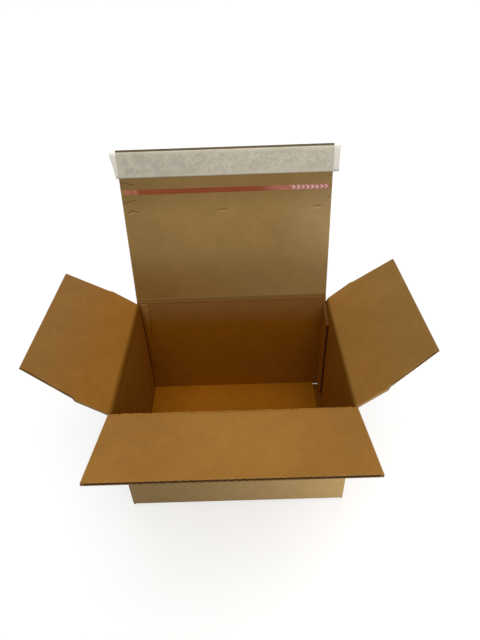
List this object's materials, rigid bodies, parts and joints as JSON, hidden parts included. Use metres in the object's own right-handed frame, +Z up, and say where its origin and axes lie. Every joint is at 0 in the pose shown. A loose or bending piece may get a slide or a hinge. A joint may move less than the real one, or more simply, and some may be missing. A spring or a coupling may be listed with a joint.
{
  "type": "corrugated mailer box",
  "caption": "Open corrugated mailer box with a self-locking base, dust flaps, a front flap, and a lid with an adhesive strip and a tear tape.",
  "frame": {"origin": "centre of the base's footprint, on the surface that the box stands on", "axes": "+X along the front wall to the right, +Y from the front wall towards the wall with the lid, +Z up"},
  "size_m": [0.4164, 0.3322, 0.3638],
  "materials": {
    "board": "matte brown kraft board",
    "fluted_board": "matte brown kraft facings and flutes",
    "adhesive": "clear tacky film",
    "release_paper": "satin off-white coated paper",
    "tear_tape": "smooth red plastic tape"
  },
  "bodies": {
    "box": {"carcass": "board"},
    "lid": {"lid": "fluted_board", "adhesive_strip": "adhesive", "release_liner": "release_paper", "tear_tape": "tear_tape"},
    "front_flap": {"front_flap": "fluted_board"},
    "left_flap": {"left_flap": "fluted_board"},
    "right_flap": {"right_flap": "fluted_board"}
  },
  "joints": [
    {"name": "lid_fold", "type": "hinge", "parent": "box", "child": "lid", "pos_m": [0, 0.10115, 0.16995], "axis": [-1, 0, 0], "range_deg": [-99.4, 130.6]},
    {"name": "front_fold", "type": "hinge", "parent": "box", "child": "front_flap", "pos_m": [0, -0.10115, 0.1663], "axis": [1, 0, 0], "range_deg": [-166.2, 98.8]},
    {"name": "left_fold", "type": "hinge", "parent": "box", "child": "left_flap", "pos_m": [-0.13015, 0, 0.163], "axis": [0, -1, 0], "range_deg": [-143, 122]},
    {"name": "right_fold", "type": "hinge", "parent": "box", "child": "right_flap", "pos_m": [0.13015, 0, 0.163], "axis": [0, 1, 0], "range_deg": [-138.5, 126.5]}
  ]
}
